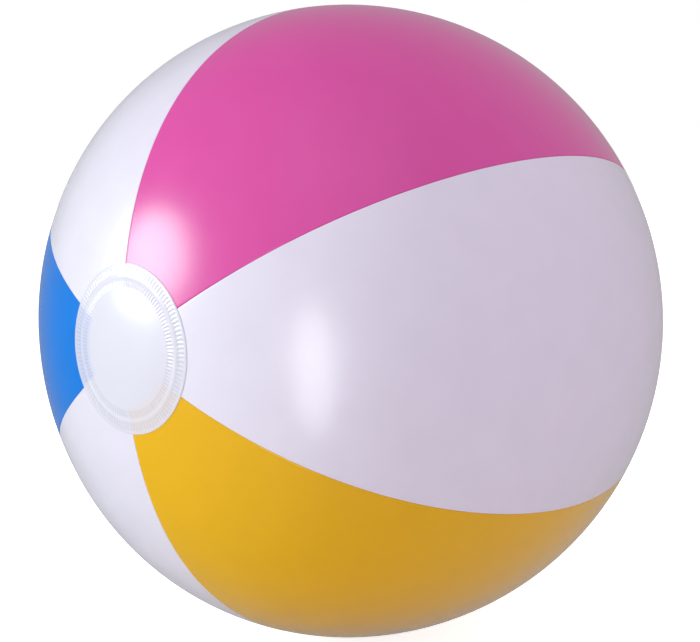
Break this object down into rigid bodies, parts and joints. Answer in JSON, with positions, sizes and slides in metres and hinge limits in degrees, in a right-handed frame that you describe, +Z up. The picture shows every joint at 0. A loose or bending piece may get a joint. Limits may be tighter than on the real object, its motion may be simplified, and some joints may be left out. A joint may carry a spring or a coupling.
{
  "type": "inflatable beach ball",
  "caption": "Inflated beach ball of coloured and white film gores, with milky end caps and a plugged push-in inflation valve beside the back cap.",
  "frame": {"origin": "centre of the inflated ball", "axes": "Y along the pole axis with the front end cap at -Y and the back cap at +Y; +Z up through the seam between the pink gore and the white gore that holds the valve; +X through the middle of the front white gore"},
  "size_m": [0.3326, 0.3106, 0.3326],
  "materials": {
    "pink_film": "gloss",
    "yellow_film": "gloss",
    "blue_film": "gloss",
    "white_film": "gloss",
    "milky_cap_film": "gloss",
    "moulded_valve": "satin"
  },
  "bodies": {
    "ball": {"gore_pink": "pink_film", "gore_white_front": "white_film", "gore_yellow": "yellow_film", "gore_white_lower": "white_film", "gore_blue": "blue_film", "gore_white_valve": "white_film", "end_cap_front": "milky_cap_film", "end_cap_back": "milky_cap_film", "valve_flange": "moulded_valve", "valve_web": "moulded_valve"},
    "stem": {"valve_stem": "moulded_valve"},
    "plug": {"valve_plug": "moulded_valve", "plug_strap": "moulded_valve"},
    "flap": {"check_flap": "moulded_valve"}
  },
  "joints": [
    {"name": "stem_slide", "type": "slide", "parent": "ball", "child": "stem", "axis": [-0.2564, 0.8585, 0.444], "range_m": [0, 0.011], "deforming": ["valve_web"]},
    {"name": "plug_hinge", "type": "hinge", "parent": "stem", "child": "plug", "pos_m": [-0.04478, 0.13622, 0.07756], "axis": [-0.866, 0, -0.5], "range_deg": [0, 160]},
    {"name": "check_flap_hinge", "type": "hinge", "parent": "stem", "child": "flap", "pos_m": [-0.04615, 0.11693, 0.07994], "axis": [-0.866, 0, -0.5], "range_deg": [0, 60]}
  ]
}
